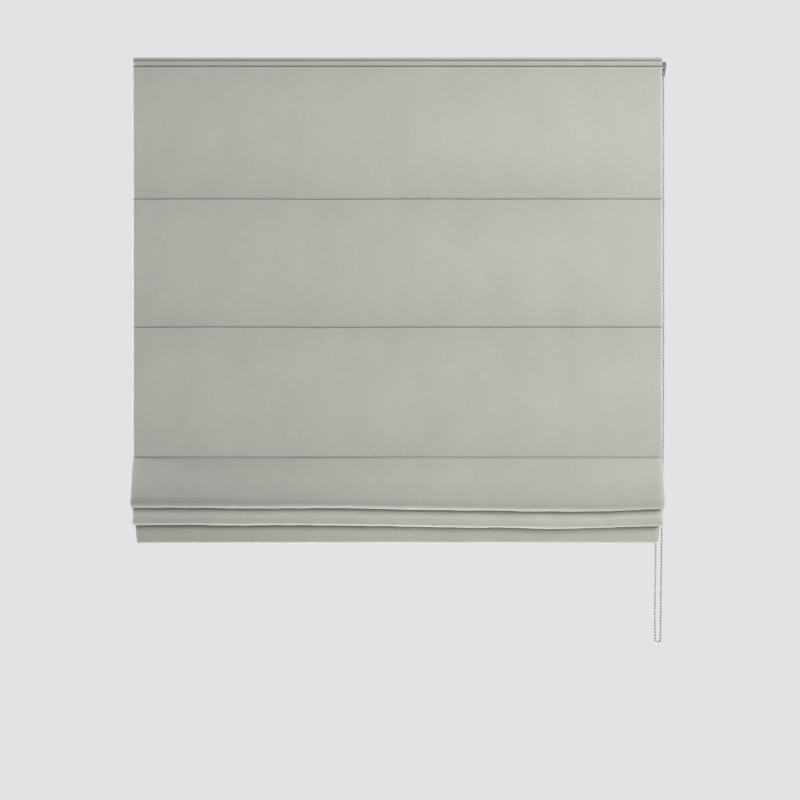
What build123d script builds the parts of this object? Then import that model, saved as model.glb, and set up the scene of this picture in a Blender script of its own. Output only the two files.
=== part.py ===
from build123d import *
import math
import os

os.makedirs("parts", exist_ok=True)

# A chain-operated, lined Roman blind, part raised. Millimetres, +X towards the chain, -Y to the
# room, +Z up. The origin is the middle of the plane in which the three brackets meet the ceiling
# of the window recess, so the whole blind hangs into -Z.

# ---- Cloth ----
cloth_width = 1070.0
face_thick = 0.8
lining_thick = 0.5
layer_gap = 0.3           # between the two cloths, and between the lining and the hook tape
header_top_z = -1.0       # the header stands above the rail to hide it
lining_top_z = -3.0
seam_z = (-285.0, -544.0, -806.3)
pocket_rise = 1.0         # a rod lies this far above its seam
fold_front_y = -60.0      # foremost point of the upper fold
fold_bottom_z = -911.4
second_front_y = -37.0
second_bottom_z = -946.3
hem_bottom_z = -981.6
hem_height = 33.0
hem_taper = 5.5           # each end of the hem is pulled in by its turned side
pinch_half = 1.5          # half the width of the crease under a gathered rod
pinch_radius = 1.4
pinch_y = (-23.5, -21.0)
pinch_z = (-820.5, -847.0)
fold_front_drop = 86.0    # from the third seam down to the upper fold's foremost line
fold_foot = 22.0          # depth of the upper fold's rounded foot
second_front_rise = 16.0  # height of the second fold's upright front
second_foot = 13.0
upper_lead = (3.5, 9.5)   # corner ahead of and below a crease, where the cloth turns into it
second_lead = (1.7, 17.5)
lower_lead = (2.2, 8.0)
flap_lead = (3.2, 11.0)
flap_back = 8.0           # the hem stands this far behind the lower crease
hem_spare = 2.0           # room in the hem beside the weight bar
hem_round = 0.4           # radius of the hem's foot, as a share of its depth
hem_closing_drop = 4.0    # the closing edge is folded over this far below the hem's top
hem_closing_gap = 2.18    # the closing edge stands this far behind the flap, with the lining between
hem_lean = 0.2
lining_inset = 2.0        # the lining stops this far inside the turned sides

# ---- Headrail ----
rail_start_inset = 7.0    # the rail starts this far inside the cloth's edge
rail_end_inset = 16.0     # and leaves this much for the chain control
rail_depth = 36.0
rail_height = 36.0
rail_wall = 1.4
rail_top_z = -4.2
groove_mouth = 12.0       # opening between the two top lips
groove_height = 4.4
top_lip = 1.6
bottom_mouth = 25.0

# ---- Fixing brackets ----
bracket_inset = 55.0      # from the cloth's edge to the middle of an outer bracket
bracket_length = 40.0
bracket_depth = 34.0
plate_thick = 1.5
bracket_corner_r = 3.0
foot_size = 5.0
foot_inset = 1.0
screw_hole_r = 2.25
screw_hole_spacing = 22.0
pin_r = 2.5
pin_head_r = 4.2
pin_head_height = 1.2
cam_nose_r = 11.5
cam_width = 9.0
cam_thick = 2.0
neck_r = 4.8
lever_length = 15.0
lever_width = 7.0
running_gap = 0.06        # radial clearance of a turning fit
part_gap = 0.3            # clearance between pieces that move past each other

# ---- Tapes ----
tape_height = 16.0
tape_thick = 1.2
tape_top_z = -4.5
tape_gap = 0.1            # between the two halves of the tape
tape_inset = 3.0          # the hook tape stops this far inside the cloth's edge

# ---- Drive ----
axis_z = -22.4
shaft_size = 6.0
shaft_overhang = 12.0     # beyond the start of the left drum
shaft_end_gap = 3.0       # short of the hub's outer end
cord_r = 0.6
wind_r = 9.5              # from the shaft's axis to the middle of the cord
cord_inset = 105.0        # from the cloth's edge to an outer cord
spool_length = 32.0
spool_flange_r = 10.4
spool_flange_thick = 1.5
journal_r = 5.0
journal_length = 3.0
spool_offset = 14.0       # from the cord back to the start of the drum
spool_end_gap = 0.4       # between a spool's flange and its cradle
wound_turns = 7.6
cradle_wall = 2.2
cradle_floor = 1.6
cradle_wall_top_z = -14.0
cradle_side_gap = 0.2
cradle_slot = 8.5         # opening through which a journal snaps in
cord_hole_r = 1.6

# ---- Chain control ----
plate_end_thick = 3.5     # the control's end plate
end_corner_r = 2.0        # rounded corners of both end pieces
cap_thick = 2.5
plug_length = 12.0
plug_wall = 1.5
plug_gap = 0.15
core_r = 8.0
core_length = 10.0
hub_r = 5.2
hub_collar_length = 4.0   # the collar inside the end plate keeps the hub in
hub_collar_rise = 1.6
hub_end_gap = 1.0
spring_wire_r = 0.55
spring_gap = 0.2
spring_turns = 5
spring_pitch = 1.4
spring_inset = 2.0
wheel_reach = 19.4        # from the rail's end to the plane of the chain on the wheel
wheel_start_gap = 0.8
web_gap = 0.7             # between the fixed core's end and the wheel's web
wheel_room_r = 13.5       # the beads' middles lie no further from the axis than this
bead_pitch = 6.0
bead_r = 2.25
bead_gap = 0.4            # between the chain and the wheel or the cover
flange_thick = 1.2
flange_rise = 0.9         # the flanges stand this far above the beads' middles
bead_notch_r = 1.3
skirt_wall = 1.1
cover_wall = 1.2
cover_flange_thick = 1.5
cover_screw_r = 1.2
cover_screw_head_r = 2.3
cover_screw_head = 1.6
screw_spread = 14.6
screw_drop = 3.6
screw_end_gap = 0.5

# ---- Rods, rings and weight bar ----
rod_r = 2.0
rod_inset = 20.0          # the rod's end from the cloth's edge
cap_r = 2.6
cap_length = 14.0
cap_end = 2.0
fit_gap = 0.05
pocket_gap = 0.3
ring_r = 5.1
ring_wire_r = 0.9
lock_r = 5.0
lock_height = 10.0
lock_round = 2.0
lock_rise = 1.6           # the lock's rounded top stands this far above the foot of the last pocket
cord_in_lock = 7.0
bar_inset = 13.0          # the bar's end from the cloth's edge
bar_height = 25.0
bar_thick = 4.0
bar_cap_length = 10.0
bar_cap_wall = 0.6
bar_cap_reach = 1.5       # past the bar's end
bar_shift = 0.1           # forward of the middle of the hem
bar_seat = 0.7            # the caps stand in the hem's rounded foot

# ---- Bead chain ----
connector_top_z = -56.0
connector_length = 13.0
connector_wall = 0.6
connector_slot = 1.6
# Corners of the hanging loop, X from the wheel's plane: down the front, round the foot, up the back.
chain_points = [
    (0.5, -11.0, -640), (0.2, -7.5, -850), (-2.2, -3.8, -985), (-3.0, -2.0, -1070),
    (-3.3, -1.0, -1120), (-3.5, -0.5, -1148), (-3.7, -0.2, -1164), (-3.8, 0.0, -1174),
    (-3.85, 0.1, -1182.7), (-7.0, 0.2, -1185.8), (-11.4, 0.4, -1185.8), (-14.55, 0.6, -1182.7),
    (-14.6, 0.9, -1174), (-14.65, 1.4, -1164), (-14.7, 2.4, -1148), (-14.4, 4.0, -1120),
    (-13.6, 5.8, -1070), (-12.2, 8.4, -985), (-8.5, 10.6, -850), (-4.2, 12.4, -640),
]
chain_straight_z = -330   # the strands hang straight from the wheel down to here

# ---- Derived places ----
cloth_half = cloth_width / 2
rail_start_x = rail_start_inset - cloth_half
rail_length = cloth_width - rail_start_inset - rail_end_inset
rail_end_x = rail_start_x + rail_length
wheel_x = rail_end_x + wheel_reach
rod_length = cloth_width - 2 * rod_inset
bar_length = cloth_width - 2 * bar_inset
rail_mid_z = rail_top_z - rail_height / 2
rail_bottom_z = rail_top_z - rail_height
groove_top_z = rail_top_z - top_lip
groove_floor_z = groove_top_z - groove_height
chamber_top_z = groove_floor_z - rail_wall
chamber_floor_z = rail_bottom_z + rail_wall
rail_inside = rail_depth - 2 * rail_wall
cord_y = -wind_r
drum_r = wind_r - cord_r - fit_gap
tape_front_y = -rail_depth / 2 - tape_thick
hook_front_y = tape_front_y - tape_gap - tape_thick
lining_y = hook_front_y - layer_gap - lining_thick / 2
face_y = lining_y - lining_thick / 2 - layer_gap - face_thick / 2
lining_offset = lining_y - face_y
pocket_inner_r = cap_r + pocket_gap
pocket_outer_r = pocket_inner_r + lining_thick
pocket_mid_r = pocket_inner_r + lining_thick / 2
wheel_beads = math.floor(math.pi / math.asin(bead_pitch / (2 * wheel_room_r)))
bead_circle_r = bead_pitch / (2 * math.sin(math.pi / wheel_beads))
bracket_xs = {"left": bracket_inset - cloth_half, "centre": 0.0, "right": cloth_half - bracket_inset}
cord_xs = {"left": cord_inset - cloth_half, "centre": 0.0, "right": cloth_half - cord_inset}


def save(piece, name):
    """Label a finished piece and write its STEP file."""
    piece.part.label = name
    export_step(piece.part, f"parts/{name}.step")


def unit(start, end):
    """The direction from one point of a path to the next."""
    length = math.dist(start, end)
    return (end[0] - start[0]) / length, (end[1] - start[1]) / length


def parallel(points, radii, gap):
    """A filleted path that runs behind another one, at a constant distance."""
    ways = [unit(a, b) for a, b in zip(points, points[1:])]
    normals = [(-dz, dy) for dy, dz in ways]
    moved = [(points[0][0] + gap * normals[0][0], points[0][1] + gap * normals[0][1])]
    new_radii = []
    for i, radius in enumerate(radii):
        before, after = normals[i], normals[i + 1]
        share = gap / (1 + before[0] * after[0] + before[1] * after[1])
        corner = points[i + 1]
        moved.append((corner[0] + share * (before[0] + after[0]),
                      corner[1] + share * (before[1] + after[1])))
        turn = ways[i][0] * ways[i + 1][1] - ways[i][1] * ways[i + 1][0]
        new_radii.append(radius - gap if turn > 0 else radius + gap)
    moved.append((points[-1][0] + gap * normals[-1][0], points[-1][1] + gap * normals[-1][1]))
    return moved, new_radii


def path_length(points, radii):
    """Length of a path whose corners are rounded."""
    total = sum(math.dist(a, b) for a, b in zip(points, points[1:]))
    for before, corner, after, radius in zip(points, points[1:], points[2:], radii):
        turn = corner_angle(before, corner, after)
        total -= radius * (2 * math.tan(turn / 2) - turn)
    return total


def corner_angle(before, corner, after):
    """The turn at a corner of a route, in radians."""
    first = Vector(*corner) - Vector(*before)
    second = Vector(*after) - Vector(*corner)
    return math.radians(first.get_angle(second))


# ---- The cloth's section: header, flat panels, two hanging folds, flap and hem ----
upper_crease = (pinch_y[0], pinch_z[0])
lower_crease = (pinch_y[1], pinch_z[1])
panel_path = [(face_y, header_top_z), (face_y, seam_z[2])]
upper_fold = [(fold_front_y, seam_z[2] - fold_front_drop), (fold_front_y, fold_bottom_z),
              (fold_front_y + fold_foot, fold_bottom_z),
              (upper_crease[0] - upper_lead[0], upper_crease[1] - upper_lead[1]),
              (upper_crease[0] - pinch_half, upper_crease[1])]
upper_radii = [6.0, 22.0, 10.5, 10.5, 10.0, pinch_radius]
lower_fold = [(upper_crease[0] + pinch_half, upper_crease[1]),
              (upper_crease[0] - second_lead[0], upper_crease[1] - second_lead[1]),
              (second_front_y, second_bottom_z + second_front_rise),
              (second_front_y, second_bottom_z), (second_front_y + second_foot, second_bottom_z),
              (lower_crease[0] - lower_lead[0], lower_crease[1] - lower_lead[1]),
              (lower_crease[0] - pinch_half, lower_crease[1])]
lower_radii = [pinch_radius, 7.0, 12.0, 6.2, 6.2, 8.0, pinch_radius]
flap_foot_y = lower_crease[0] + flap_back
flap = [(lower_crease[0] + pinch_half, lower_crease[1]),
        (lower_crease[0] + flap_lead[0], lower_crease[1] - flap_lead[1]), (flap_foot_y, hem_bottom_z)]
flap_radii = [pinch_radius, 9.0]
hem_depth = bar_thick + hem_spare
hem_back_y = flap_foot_y + hem_depth
flap_slope = (flap[2][0] - flap[1][0]) / (flap[2][1] - flap[1][1])
hem_closing_z = hem_bottom_z + hem_height - hem_closing_drop
hem_closing_y = flap_foot_y + flap_slope * hem_height + hem_closing_gap
hem_turn = [(hem_back_y, hem_bottom_z), (hem_back_y - hem_lean, hem_closing_z),
            (hem_closing_y, hem_bottom_z + hem_height)]
hem_radii = [hem_depth * hem_round, hem_depth * hem_round, 3.0]

face_points = panel_path + upper_fold + lower_fold + flap + hem_turn
face_radii = upper_radii + lower_radii + flap_radii + hem_radii

lining_end_y = flap[2][0] + flap_slope * (hem_closing_z - hem_bottom_z)
lining_source = ([(face_y, lining_top_z), (face_y, seam_z[2])] + upper_fold + lower_fold
                 + flap[:2] + [(lining_end_y, hem_closing_z)])
lining_points, lining_radii = parallel(lining_source, upper_radii + lower_radii + flap_radii,
                                       lining_offset)

# Rod centres: behind a seam on the flat panels, above the crease where the cloth is gathered.
seam_rod_y = lining_y - lining_thick / 2 + pocket_outer_r
crease_reach = (pinch_radius + lining_offset + pocket_mid_r) / math.sqrt(2)
rod_places = [(seam_rod_y, z + pocket_rise) for z in seam_z]
rod_places += [(y + pinch_half - pinch_radius + crease_reach, z - pinch_radius + crease_reach)
               for y, z in (upper_crease, lower_crease)]

with BuildPart() as face_fabric:
    with BuildSketch(Plane.YZ):
        with BuildLine():
            FilletPolyline(*face_points, radius=face_radii)
        trace(line_width=face_thick)
    extrude(amount=cloth_half, both=True)
    with BuildSketch(Plane.XZ):
        for side in (-1, 1):
            with BuildLine():
                Polyline((side * cloth_half, hem_bottom_z + hem_height),
                         (side * (cloth_half + 1), hem_bottom_z + hem_height),
                         (side * (cloth_half + 1), hem_bottom_z - 1),
                         (side * (cloth_half - hem_taper), hem_bottom_z - 1), close=True)
            make_face()
    extrude(amount=-2 * fold_front_y, both=True, mode=Mode.SUBTRACT)
save(face_fabric, "face_fabric")

with BuildPart() as lining:
    with BuildSketch(Plane.YZ):
        with BuildLine():
            FilletPolyline(*lining_points, radius=lining_radii)
        trace(line_width=lining_thick)
        with Locations(*rod_places):
            Circle(pocket_outer_r)
        with Locations(*rod_places):
            Circle(pocket_inner_r, mode=Mode.SUBTRACT)
    extrude(amount=cloth_half - lining_inset, both=True)
save(lining, "lining")

# ---- Hook-and-loop header fixing ----
with BuildPart() as loop_tape:
    with Locations((rail_start_x + rail_length / 2, tape_front_y + tape_thick / 2,
                    tape_top_z - tape_height / 2)):
        Box(rail_length, tape_thick, tape_height)
save(loop_tape, "loop_tape")

with BuildPart() as hook_tape:
    with Locations((0, hook_front_y + tape_thick / 2, tape_top_z - tape_height / 2)):
        Box(cloth_width - 2 * tape_inset, tape_thick, tape_height)
save(hook_tape, "hook_tape")

# ---- Headrail ----
with BuildPart() as headrail:
    with BuildSketch(Plane.YZ.offset(rail_start_x)):
        with Locations((0, rail_mid_z)):
            Rectangle(rail_depth, rail_height)
        with Locations((0, (chamber_top_z + chamber_floor_z) / 2)):
            Rectangle(rail_inside, chamber_top_z - chamber_floor_z, mode=Mode.SUBTRACT)
        with Locations((0, rail_bottom_z)):
            Rectangle(bottom_mouth, 4 * rail_wall, mode=Mode.SUBTRACT)
        with Locations((0, (groove_top_z + groove_floor_z) / 2)):
            Rectangle(rail_inside, groove_height, mode=Mode.SUBTRACT)
        with Locations((0, rail_top_z)):
            Rectangle(groove_mouth, 3 * top_lip, mode=Mode.SUBTRACT)
    extrude(amount=rail_length)
save(headrail, "headrail")

# ---- Fixing brackets, each with a turning cam on a riveted pin ----
lever_top_z = -plate_thick - part_gap
lever_bottom_z = rail_top_z + part_gap
cam_top_z = groove_top_z - part_gap
pin_head_z = cam_top_z - cam_thick - part_gap
for place, x in bracket_xs.items():
    with BuildPart() as bracket:
        with BuildSketch(Plane.XY.offset(-plate_thick)):
            with Locations((x, 0)):
                RectangleRounded(bracket_length, bracket_depth, bracket_corner_r)
                Circle(pin_r + fit_gap, mode=Mode.SUBTRACT)
            with Locations((x, screw_hole_spacing / 2), (x, -screw_hole_spacing / 2)):
                Circle(screw_hole_r, mode=Mode.SUBTRACT)
        extrude(amount=plate_thick)
        with BuildSketch(Plane.XY.offset(rail_top_z)):
            with Locations((x, 0)):
                with GridLocations(bracket_length - foot_size - 2 * foot_inset,
                                   bracket_depth - foot_size - 2 * foot_inset, 2, 2):
                    Rectangle(foot_size, foot_size)
        extrude(amount=-plate_thick - rail_top_z)
    save(bracket, f"bracket_{place}")

    with BuildPart() as cam:
        with BuildSketch(Plane.XY.offset(cam_top_z - cam_thick)):
            with Locations((x, 0)):
                Circle(cam_nose_r)
                Rectangle(cam_width, 2 * cam_nose_r, mode=Mode.INTERSECT)
        extrude(amount=cam_thick)
        with BuildSketch(Plane.XY.offset(cam_top_z)):
            with Locations((x, 0)):
                Circle(neck_r)
        extrude(amount=lever_top_z - cam_top_z)
        with BuildSketch(Plane.XY.offset(lever_bottom_z)):
            with Locations((x, -lever_length / 2)):
                SlotOverall(lever_length, lever_width, rotation=90)
        extrude(amount=lever_top_z - lever_bottom_z)
        with BuildSketch(Plane.XY.offset(cam_top_z - cam_thick)):
            with Locations((x, 0)):
                Circle(pin_r + running_gap)
        extrude(amount=-cam_top_z + cam_thick, mode=Mode.SUBTRACT)
    save(cam, f"bracket_cam_{place}")

with BuildPart() as bracket_pivots:
    with BuildSketch(Plane.XY.offset(pin_head_z)):
        with Locations(*[(x, 0) for x in bracket_xs.values()]):
            Circle(pin_r)
    extrude(amount=-pin_head_z)
    with BuildSketch(Plane.XY.offset(pin_head_z - pin_head_height)):
        with Locations(*[(x, 0) for x in bracket_xs.values()]):
            Circle(pin_head_r)
    extrude(amount=pin_head_height)
save(bracket_pivots, "bracket_pivots")

# ---- Rail ends ----
plug_width = rail_inside - 2 * plug_gap
plug_height = chamber_top_z - chamber_floor_z - 2 * plug_gap
plug_mid_z = (chamber_top_z + chamber_floor_z) / 2


def plug_section(x):
    """The section of the hollow plug that holds an end piece in the rail."""
    with BuildSketch(Plane.YZ.offset(x)) as section:
        with Locations((0, plug_mid_z)):
            Rectangle(plug_width, plug_height)
            Rectangle(plug_width - 2 * plug_wall, plug_height - 2 * plug_wall, mode=Mode.SUBTRACT)
    return section.sketch


with BuildPart() as end_cap:
    with BuildSketch(Plane.YZ.offset(rail_start_x - cap_thick)):
        with Locations((0, rail_mid_z)):
            RectangleRounded(rail_depth, rail_height, end_corner_r)
    extrude(amount=cap_thick)
    extrude(plug_section(rail_start_x), amount=plug_length)
save(end_cap, "end_cap")

plate_x = rail_end_x + plate_end_thick
screw_places = [(side * screw_spread, rail_top_z - screw_drop) for side in (-1, 1)]
with BuildPart() as control_housing:
    with BuildSketch(Plane.YZ.offset(rail_end_x)):
        with Locations((0, rail_mid_z)):
            RectangleRounded(rail_depth, rail_height, end_corner_r)
        with Locations(*screw_places):
            Circle(cover_screw_r + fit_gap, mode=Mode.SUBTRACT)
    extrude(amount=plate_end_thick)
    extrude(plug_section(rail_end_x - plug_length), amount=plug_length)
    with BuildSketch(Plane.YZ.offset(plate_x)):
        with Locations((0, axis_z)):
            Circle(core_r)
    extrude(amount=core_length)
    with BuildSketch(Plane.YZ.offset(rail_end_x)):
        with Locations((0, axis_z)):
            Circle(hub_r + running_gap)
    extrude(amount=plate_end_thick + core_length, mode=Mode.SUBTRACT)
save(control_housing, "control_housing")

# ---- Chain wheel, spring clutch and output hub ----
spring_r = core_r + spring_gap + spring_wire_r
spring_start_x = plate_x + spring_inset
skirt_inner_r = spring_r + spring_wire_r + part_gap
skirt_outer_r = skirt_inner_r + skirt_wall
groove_half = bead_r + bead_gap
groove_root_r = bead_circle_r - bead_r - bead_gap
wheel_start_x = plate_x + wheel_start_gap
web_x = plate_x + core_length + web_gap
wheel_end_x = wheel_x + groove_half + flange_thick
flange_r = bead_circle_r + flange_rise
hub_start_x = rail_end_x - hub_collar_length
hub_end_x = wheel_end_x - hub_end_gap

with BuildPart() as wrap_spring:
    with BuildLine():
        coil = Helix(spring_pitch, spring_pitch * spring_turns, spring_r,
                     center=(spring_start_x, 0, axis_z), direction=(1, 0, 0))
    with BuildSketch(Plane(origin=coil @ 0, z_dir=coil % 0)):
        Circle(spring_wire_r)
    sweep(is_frenet=True)
save(wrap_spring, "wrap_spring")

with BuildPart() as chain_wheel:
    with BuildSketch(Plane.XZ):
        with BuildLine():
            Polyline((wheel_start_x, axis_z + skirt_inner_r), (web_x, axis_z + skirt_inner_r),
                     (web_x, axis_z + hub_r + fit_gap), (wheel_end_x, axis_z + hub_r + fit_gap),
                     (wheel_end_x, axis_z + flange_r), (wheel_end_x - flange_thick, axis_z + flange_r),
                     (wheel_end_x - flange_thick, axis_z + groove_root_r),
                     (wheel_x - groove_half, axis_z + groove_root_r),
                     (wheel_x - groove_half, axis_z + flange_r),
                     (wheel_x - groove_half - flange_thick, axis_z + flange_r),
                     (wheel_x - groove_half - flange_thick, axis_z + skirt_outer_r),
                     (wheel_start_x, axis_z + skirt_outer_r), close=True)
        make_face()
    revolve(axis=Axis((0, 0, axis_z), (1, 0, 0)))
    with BuildSketch(Plane.YZ.offset(wheel_x - groove_half - flange_thick)):
        with Locations((0, axis_z)):
            with PolarLocations(flange_r, wheel_beads):
                Circle(bead_notch_r)
    extrude(amount=2 * (groove_half + flange_thick), mode=Mode.SUBTRACT)
save(chain_wheel, "chain_wheel")

with BuildPart() as output_hub:
    with BuildSketch(Plane.YZ.offset(hub_start_x)):
        with Locations((0, axis_z)):
            Circle(hub_r)
            Rectangle(shaft_size + 2 * fit_gap, shaft_size + 2 * fit_gap, mode=Mode.SUBTRACT)
    extrude(amount=hub_end_x - hub_start_x)
    with BuildSketch(Plane.YZ.offset(hub_start_x)):
        with Locations((0, axis_z)):
            Circle(hub_r + hub_collar_rise)
            Rectangle(shaft_size + 2 * fit_gap, shaft_size + 2 * fit_gap, mode=Mode.SUBTRACT)
    extrude(amount=hub_collar_length - part_gap)
save(output_hub, "output_hub")

cover_inner_r = bead_circle_r + bead_r + bead_gap
cover_outer_r = cover_inner_r + cover_wall
cover_end_x = wheel_end_x + part_gap + cover_wall
with BuildPart() as control_cover:
    with BuildSketch(Plane.YZ.offset(plate_x)):
        with Locations((0, axis_z)):
            Circle(cover_outer_r)
        with Locations((0, axis_z - cover_outer_r)):
            Rectangle(2 * cover_outer_r, 2 * cover_outer_r, mode=Mode.SUBTRACT)
    extrude(amount=cover_end_x - plate_x)
    with BuildSketch(Plane.YZ.offset(plate_x)):
        with Locations((0, (rail_top_z + axis_z) / 2)):
            Rectangle(rail_depth, rail_top_z - axis_z)
        with Locations(*screw_places):
            Circle(cover_screw_r + fit_gap, mode=Mode.SUBTRACT)
    extrude(amount=cover_flange_thick)
    with BuildSketch(Plane.YZ.offset(plate_x)):
        with Locations((0, axis_z)):
            Circle(cover_inner_r)
    extrude(amount=cover_end_x - plate_x - cover_wall, mode=Mode.SUBTRACT)
save(control_cover, "control_cover")

with BuildPart() as cover_screws:
    with BuildSketch(Plane.YZ.offset(rail_end_x + screw_end_gap)):
        with Locations(*screw_places):
            Circle(cover_screw_r)
    extrude(amount=plate_end_thick - screw_end_gap + cover_flange_thick)
    with BuildSketch(Plane.YZ.offset(plate_x + cover_flange_thick)):
        with Locations(*screw_places):
            Circle(cover_screw_head_r)
    extrude(amount=cover_screw_head)
save(cover_screws, "cover_screws")

# ---- Drive shaft ----
shaft_start_x = cord_xs["left"] - spool_offset - shaft_overhang
shaft_end_x = hub_end_x - shaft_end_gap
with BuildPart() as drive_shaft:
    with BuildSketch(Plane.YZ.offset(shaft_start_x)):
        with Locations((0, axis_z)):
            Rectangle(shaft_size, shaft_size)
    extrude(amount=shaft_end_x - shaft_start_x)
save(drive_shaft, "drive_shaft")

# ---- Cord spools in their cradles, with the lift cords ----
lock_top_z = rod_places[4][1] - pocket_outer_r + lock_rise
cord_end_z = lock_top_z - cord_in_lock
journal_reach = spool_flange_thick + journal_length
for place, x in cord_xs.items():
    drum_start = x - spool_offset
    drum_end = drum_start + spool_length
    with BuildPart() as spool:
        with BuildSketch(Plane.YZ.offset(drum_start)):
            with Locations((0, axis_z)):
                Circle(drum_r)
        extrude(amount=spool_length)
        for flange_x in (drum_start - spool_flange_thick, drum_end):
            with BuildSketch(Plane.YZ.offset(flange_x)):
                with Locations((0, axis_z)):
                    Circle(spool_flange_r)
            extrude(amount=spool_flange_thick)
        with BuildSketch(Plane.YZ.offset(drum_start - journal_reach)):
            with Locations((0, axis_z)):
                Circle(journal_r)
        extrude(amount=spool_length + 2 * journal_reach)
        with BuildSketch(Plane.YZ.offset(drum_start - journal_reach)):
            with Locations((0, axis_z)):
                Rectangle(shaft_size + 2 * fit_gap, shaft_size + 2 * fit_gap)
        extrude(amount=spool_length + 2 * journal_reach, mode=Mode.SUBTRACT)
    save(spool, f"spool_{place}")

    wall_low_x = drum_start - spool_flange_thick - spool_end_gap - cradle_wall
    wall_high_x = drum_end + spool_flange_thick + spool_end_gap
    cradle_length = wall_high_x + cradle_wall - wall_low_x
    with BuildPart() as cradle:
        with BuildSketch(Plane.XY.offset(chamber_floor_z)):
            with Locations((wall_low_x + cradle_length / 2, 0)):
                Rectangle(cradle_length, rail_inside - 2 * cradle_side_gap)
            with Locations((x, cord_y)):
                Circle(cord_hole_r, mode=Mode.SUBTRACT)
        extrude(amount=cradle_floor)
        for wall_x in (wall_low_x, wall_high_x):
            with BuildSketch(Plane.YZ.offset(wall_x)):
                with Locations((0, (chamber_floor_z + cradle_wall_top_z) / 2)):
                    Rectangle(rail_inside - 2 * cradle_side_gap, cradle_wall_top_z - chamber_floor_z)
                with Locations((0, axis_z)):
                    Circle(journal_r + running_gap, mode=Mode.SUBTRACT)
                with Locations((0, cradle_wall_top_z)):
                    Rectangle(cradle_slot, 2 * (cradle_wall_top_z - axis_z), mode=Mode.SUBTRACT)
            extrude(amount=cradle_wall)
    save(cradle, f"spool_cradle_{place}")

    turns_length = wound_turns * 2 * cord_r
    with BuildPart() as turns:
        with BuildSketch(Plane.YZ.offset(x - 2 * cord_r - turns_length)):
            with Locations((0, axis_z)):
                Circle(wind_r + cord_r)
                Circle(drum_r + fit_gap, mode=Mode.SUBTRACT)
        extrude(amount=turns_length)
    save(turns, f"cord_turns_{place}")

    with BuildPart() as lift_cord:
        with BuildSketch(Plane.XY.offset(cord_end_z)):
            with Locations((x, cord_y)):
                Circle(cord_r)
        extrude(amount=axis_z - cord_end_z)
    save(lift_cord, f"lift_cord_{place}")

    with BuildPart() as cord_lock:
        with BuildSketch(Plane.XY.offset(lock_top_z - lock_height)):
            with Locations((x, cord_y)):
                Circle(lock_r)
        extrude(amount=lock_height)
        fillet(cord_lock.edges().filter_by(GeomType.CIRCLE), lock_round)
        with BuildSketch(Plane.XY.offset(lock_top_z - lock_height)):
            with Locations((x, cord_y)):
                Circle(cord_r + fit_gap)
        extrude(amount=lock_height, mode=Mode.SUBTRACT)
    save(cord_lock, f"cord_lock_{place}")

# ---- Rods with their end caps and cord rings ----
for number, (y, z) in enumerate(rod_places, start=1):
    with BuildPart() as rod:
        with BuildSketch(Plane.YZ.offset(-rod_length / 2)):
            with Locations((y, z)):
                Circle(rod_r)
        extrude(amount=rod_length)
    save(rod, f"rod_{number}")

    with BuildPart() as rod_caps:
        for side in (-1, 1):
            outer_x = side * (rod_length / 2 + cap_end)
            with BuildSketch(Plane.YZ.offset(outer_x)):
                with Locations((y, z)):
                    Circle(cap_r)
            extrude(amount=-side * cap_length)
            with BuildSketch(Plane.YZ.offset(side * rod_length / 2)):
                with Locations((y, z)):
                    Circle(rod_r + fit_gap)
            extrude(amount=-side * cap_length, mode=Mode.SUBTRACT)
    save(rod_caps, f"rod_caps_{number}")

    ring_y = y + pocket_outer_r + part_gap + ring_r + ring_wire_r
    with BuildPart() as rings:
        with Locations(*[(x, ring_y, z) for x in cord_xs.values()]):
            Torus(ring_r, ring_wire_r)
    save(rings, f"cord_rings_{number}")

# ---- Weight bar in the hem ----
bar_low_z = hem_bottom_z + face_thick / 2 + bar_seat + bar_cap_wall
bar_mid_z = bar_low_z + bar_height / 2
bar_y = flap_foot_y + hem_depth / 2 - bar_shift
with BuildPart() as weight_bar:
    with Locations((0, bar_y, bar_mid_z)):
        Box(bar_length, bar_thick - 2 * bar_cap_wall, bar_height)
save(weight_bar, "weight_bar")

with BuildPart() as weight_bar_caps:
    for side in (-1, 1):
        with Locations((side * (bar_length / 2 - bar_cap_length / 2 + bar_cap_reach), bar_y, bar_mid_z)):
            Box(bar_cap_length, bar_thick, bar_height + 2 * bar_cap_wall)
    with Locations((0, bar_y, bar_mid_z)):
        Box(bar_length + 2 * fit_gap, bar_thick - 2 * bar_cap_wall + 2 * fit_gap,
            bar_height + 2 * fit_gap, mode=Mode.SUBTRACT)
save(weight_bar_caps, "weight_bar_caps")

# ---- Bead chain: over the wheel, and the loop that hangs from it ----
with BuildPart() as chain_on_wheel:
    with BuildSketch(Plane.XY.offset(axis_z)):
        with Locations((wheel_x, -bead_circle_r)):
            Circle(bead_r)
    revolve(axis=Axis((wheel_x, 0, axis_z), (-1, 0, 0)), revolution_arc=180)
save(chain_on_wheel, "chain_on_wheel")

chain_route = [(wheel_x, -bead_circle_r, axis_z), (wheel_x, -bead_circle_r, chain_straight_z)]
chain_route += [(wheel_x + x, y, z) for x, y, z in chain_points]
chain_route += [(wheel_x, bead_circle_r, chain_straight_z), (wheel_x, bead_circle_r, axis_z)]
chain_radii = []
for before, corner, after in zip(chain_route, chain_route[1:], chain_route[2:]):
    shorter = min(math.dist(before, corner), math.dist(corner, after))
    chain_radii.append(0.45 * shorter / math.tan(corner_angle(before, corner, after) / 2))
chain_length = path_length(chain_route, chain_radii)

with BuildPart() as bead_chain:
    with BuildLine():
        FilletPolyline(*chain_route, radius=chain_radii)
    with BuildSketch(Plane.XY.offset(axis_z)):
        with Locations((wheel_x, -bead_circle_r)):
            Circle(bead_r)
    sweep()
save(bead_chain, "bead_chain")

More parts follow.
